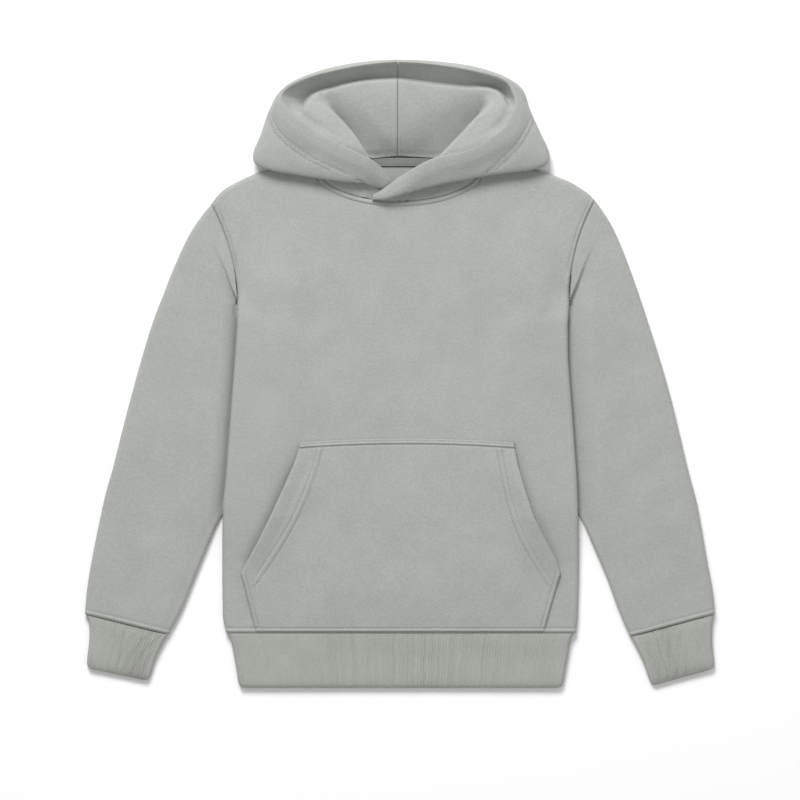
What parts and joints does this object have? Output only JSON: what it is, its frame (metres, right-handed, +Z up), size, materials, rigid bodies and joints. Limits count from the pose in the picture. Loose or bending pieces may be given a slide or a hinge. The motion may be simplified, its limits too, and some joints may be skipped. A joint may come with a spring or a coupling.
{
  "type": "toddler pullover hoodie",
  "caption": "Grey pullover hoodie for a toddler, laid flat with its hood folded down, a hand pocket on the front and rib cuffs and waistband.",
  "frame": {"origin": "middle of the whole garment's box, on the surface that it lies on", "axes": "+Z up out of the surface, +Y from the hem towards the hood, +X from the left of the laid garment to its right, seen from above"},
  "size_m": [0.567, 0.565, 0.0335],
  "materials": {
    "fleece": "matt brushed-back cotton fleece",
    "hood_lining": "matt cotton fleece, inner side of the hood",
    "neck_tape": "matt self-fabric tape",
    "rib": "matt 1x1 cotton rib"
  },
  "bodies": {
    "root": {"front_panel": "fleece", "back_panel": "fleece", "sleeve_left": "fleece", "sleeve_right": "fleece", "kangaroo_pocket": "fleece", "hood_left": "fleece", "hood_right": "fleece", "hood_lining_left": "hood_lining", "hood_lining_right": "hood_lining", "neck_tape": "neck_tape", "cuff_left": "rib", "cuff_right": "rib", "waistband": "rib"}
  },
  "joints": []
}
